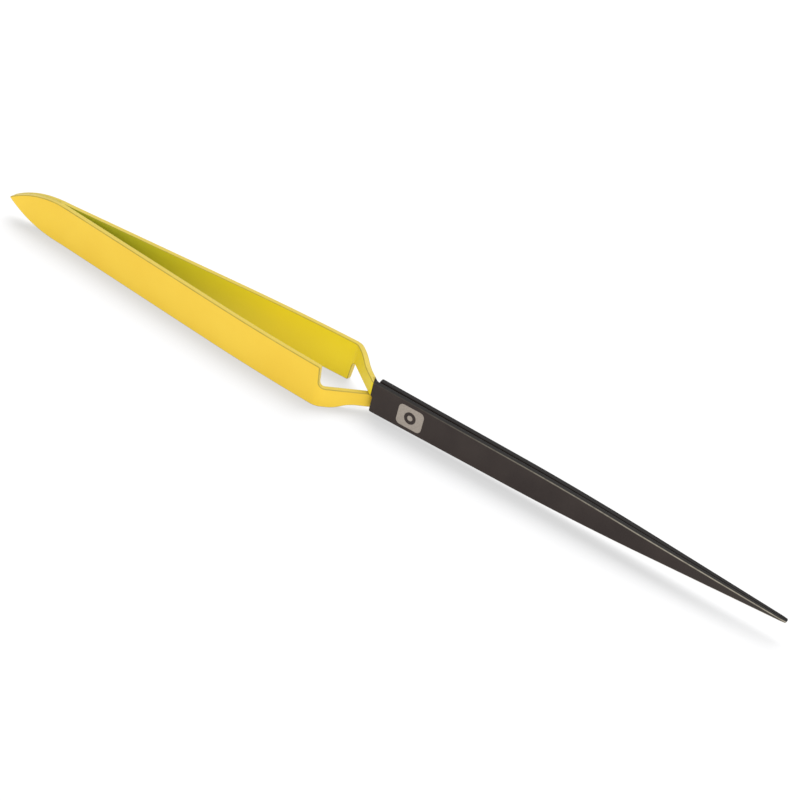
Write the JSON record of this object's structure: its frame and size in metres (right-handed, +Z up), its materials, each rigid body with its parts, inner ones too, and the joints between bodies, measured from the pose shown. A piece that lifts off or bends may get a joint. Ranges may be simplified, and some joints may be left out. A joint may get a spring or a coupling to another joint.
{
  "type": "self-closing tweezers",
  "caption": "Slim cross-action tweezers of two coated spring-steel strips, welded at one pointed end and crossing before long fine tips; squeezing the handle opens them.",
  "frame": {"origin": "middle of the length and of the width, on the plane of the strips' lower long edges, on which the tool stands", "axes": "+X runs along the tool from the welded root to the points, +Y from the near arm's handle to the far arm's handle, +Z up across the height of the strips"},
  "size_m": [0.165, 0.0128, 0.0079],
  "materials": {
    "spring_steel": "bare spring steel, ground",
    "handle_powder_coat": "satin yellow powder coat",
    "tip_black_coat": "satin warm black coat",
    "badge_print": "satin light grey print",
    "symbol_print": "satin warm black"
  },
  "bodies": {
    "root_tang": {"near_root_strip": "spring_steel", "far_root_strip": "spring_steel", "spot_welds": "spring_steel", "near_root_coat": "handle_powder_coat", "far_root_coat": "handle_powder_coat"},
    "near_arm": {"near_arm_strip": "spring_steel", "near_handle_coat": "handle_powder_coat", "near_tip_coat": "tip_black_coat"},
    "far_arm": {"far_arm_strip": "spring_steel", "far_handle_coat": "handle_powder_coat", "far_tip_coat": "tip_black_coat", "badge_plate": "badge_print", "badge_symbol": "symbol_print"}
  },
  "joints": [
    {"name": "near_arm_flex", "type": "hinge", "parent": "root_tang", "child": "near_arm", "pos_m": [-0.0545, -0.00201, 0.00395], "axis": [0, 0, 1], "range_deg": [0, 4], "stiffness_Nm_per_rad": 2.3, "springref_deg": -2.86},
    {"name": "far_arm_flex", "type": "hinge", "parent": "root_tang", "child": "far_arm", "pos_m": [-0.0545, 0.00201, 0.00395], "axis": [0, 0, 1], "range_deg": [-4, 0], "stiffness_Nm_per_rad": 2.3, "springref_deg": 2.86}
  ],
  "couplings": [
    {"joint": "far_arm_flex", "follows": "near_arm_flex", "ratio": -1}
  ]
}
